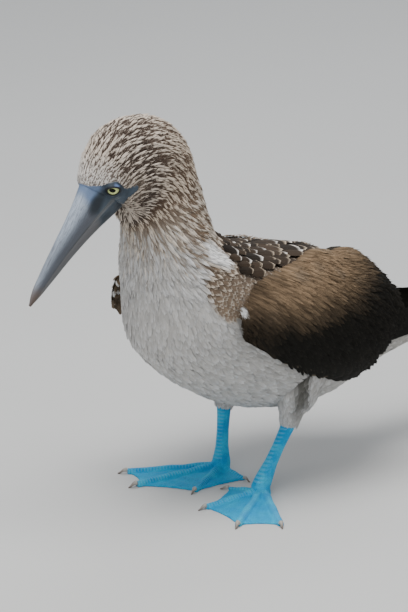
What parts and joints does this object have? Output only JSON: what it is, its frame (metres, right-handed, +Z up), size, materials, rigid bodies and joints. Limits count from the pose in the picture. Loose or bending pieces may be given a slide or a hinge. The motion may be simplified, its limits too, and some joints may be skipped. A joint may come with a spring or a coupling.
{
  "type": "standing blue-footed booby, still model",
  "caption": "Life-size still model of a standing blue-footed seabird with folded wings, a long dagger bill bowed forward and broad webbed feet.",
  "frame": {"origin": "on the floor, under the middle of the bird's box", "axes": "+Z up, +Y towards the tail's tip, so the bill points to -Y; +X towards the bird's left side"},
  "size_m": [0.193, 0.59, 0.332],
  "materials": {
    "head_feathers": "matte",
    "body_feathers": "matte",
    "wing_feathers": "satin",
    "tail_feathers": "satin",
    "bill_horn": "satin",
    "eye": "gloss",
    "foot_skin": "satin",
    "claw_horn": "satin"
  },
  "bodies": {
    "root": {"head": "head_feathers", "neck": "head_feathers", "torso": "body_feathers", "bill_upper": "bill_horn", "bill_lower": "bill_horn", "eye_left": "eye", "eye_right": "eye", "wing_left": "wing_feathers", "wing_right": "wing_feathers", "tail": "tail_feathers", "thigh_left": "body_feathers", "tarsus_left": "foot_skin", "foot_left": "foot_skin", "claw_hind_left": "claw_horn", "claw_inner_left": "claw_horn", "claw_middle_left": "claw_horn", "claw_outer_left": "claw_horn", "thigh_right": "body_feathers", "tarsus_right": "foot_skin", "foot_right": "foot_skin", "claw_hind_right": "claw_horn", "claw_inner_right": "claw_horn", "claw_middle_right": "claw_horn", "claw_outer_right": "claw_horn"}
  },
  "joints": []
}
